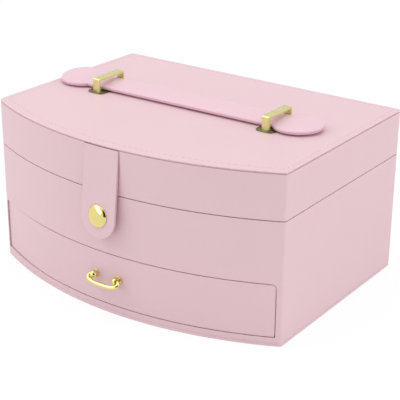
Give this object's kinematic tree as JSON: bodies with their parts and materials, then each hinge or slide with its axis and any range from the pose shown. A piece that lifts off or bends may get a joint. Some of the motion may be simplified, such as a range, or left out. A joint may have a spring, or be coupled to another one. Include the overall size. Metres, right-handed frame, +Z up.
{
  "type": "jewelry box",
  "caption": "Bow-front jewellery box with a hinged lid, strap handle, snap closure tab and a bottom drawer with a bail pull.",
  "frame": {"origin": "centre of the footprint, on the surface that the box stands on", "axes": "+X to the right seen from the bowed front, +Y to the back, +Z up"},
  "size_m": [0.26, 0.2113, 0.1407],
  "materials": {
    "pink_leather": "pale pink smooth imitation leather over board, satin",
    "strap_leather": "pale pink imitation leather strap, satin",
    "board": "fibreboard with a thin pink paper cover",
    "velvet": "short-pile velvet",
    "felt": "thin felt",
    "card": "plain card",
    "mirror_glass": "silvered flat glass",
    "gold": "polished pale gold plating"
  },
  "bodies": {
    "case": {"front_frame": "pink_leather", "side_wall_left": "pink_leather", "side_wall_right": "pink_leather", "back_wall": "pink_leather", "base_board": "pink_leather", "shelf_board": "board", "drawer_glides": "felt", "tray_lining": "velvet", "tray_long_divider": "velvet", "tray_cross_dividers": "velvet", "ring_rolls": "velvet", "snap_stud": "gold", "hinge_leaf_lower_left": "gold", "hinge_leaf_lower_right": "gold", "hinge_pin_left": "gold", "hinge_pin_right": "gold", "hinge_screws_lower": "gold"},
    "lid": {"lid_front_band": "pink_leather", "lid_side_left": "pink_leather", "lid_side_right": "pink_leather", "lid_back_band": "pink_leather", "lid_top_board": "board", "lid_top_panel": "pink_leather", "lid_inner_card": "card", "mirror": "mirror_glass", "mirror_frame": "velvet", "lid_lining": "velvet", "hinge_leaf_upper_left": "gold", "hinge_leaf_upper_right": "gold", "hinge_screws_upper": "gold", "handle_loop_left": "gold", "handle_loop_right": "gold", "handle_plate_left": "gold", "handle_plate_right": "gold", "loop_backplate_left": "gold", "loop_backplate_right": "gold", "tab_tongue": "pink_leather"},
    "closure_tab": {"closure_tab": "pink_leather", "snap_cap": "gold", "snap_socket": "gold"},
    "handle_strap": {"handle_strap": "strap_leather"},
    "drawer": {"drawer_front": "pink_leather", "drawer_side_left": "board", "drawer_side_right": "board", "drawer_back": "board", "drawer_bottom": "board", "drawer_lining": "velvet", "drawer_long_divider": "velvet", "drawer_cross_dividers": "velvet", "pull_post_left": "gold", "pull_post_right": "gold", "pull_screws": "gold"},
    "pull_bail": {"pull_bail": "gold"}
  },
  "joints": [
    {"name": "lid_hinge", "type": "hinge", "parent": "case", "child": "lid", "pos_m": [0, 0.0993, 0.0943], "axis": [-1, 0, 0], "range_deg": [0, 100]},
    {"name": "tab_hinge", "type": "hinge", "parent": "lid", "child": "closure_tab", "pos_m": [-0.0011, -0.0962, 0.1267], "axis": [-1, 0, 0], "range_deg": [0, 83]},
    {"name": "strap_slide", "type": "slide", "parent": "lid", "child": "handle_strap", "axis": [0.9998, 0.0175, 0], "range_m": [0, 0.008]},
    {"name": "drawer_slide", "type": "slide", "parent": "case", "child": "drawer", "axis": [0, -1, 0], "range_m": [0, 0.12]},
    {"name": "bail_hinge", "type": "hinge", "parent": "drawer", "child": "pull_bail", "pos_m": [0.0013, -0.1001, 0.029], "axis": [-1, 0, 0], "range_deg": [-60, 130]}
  ]
}
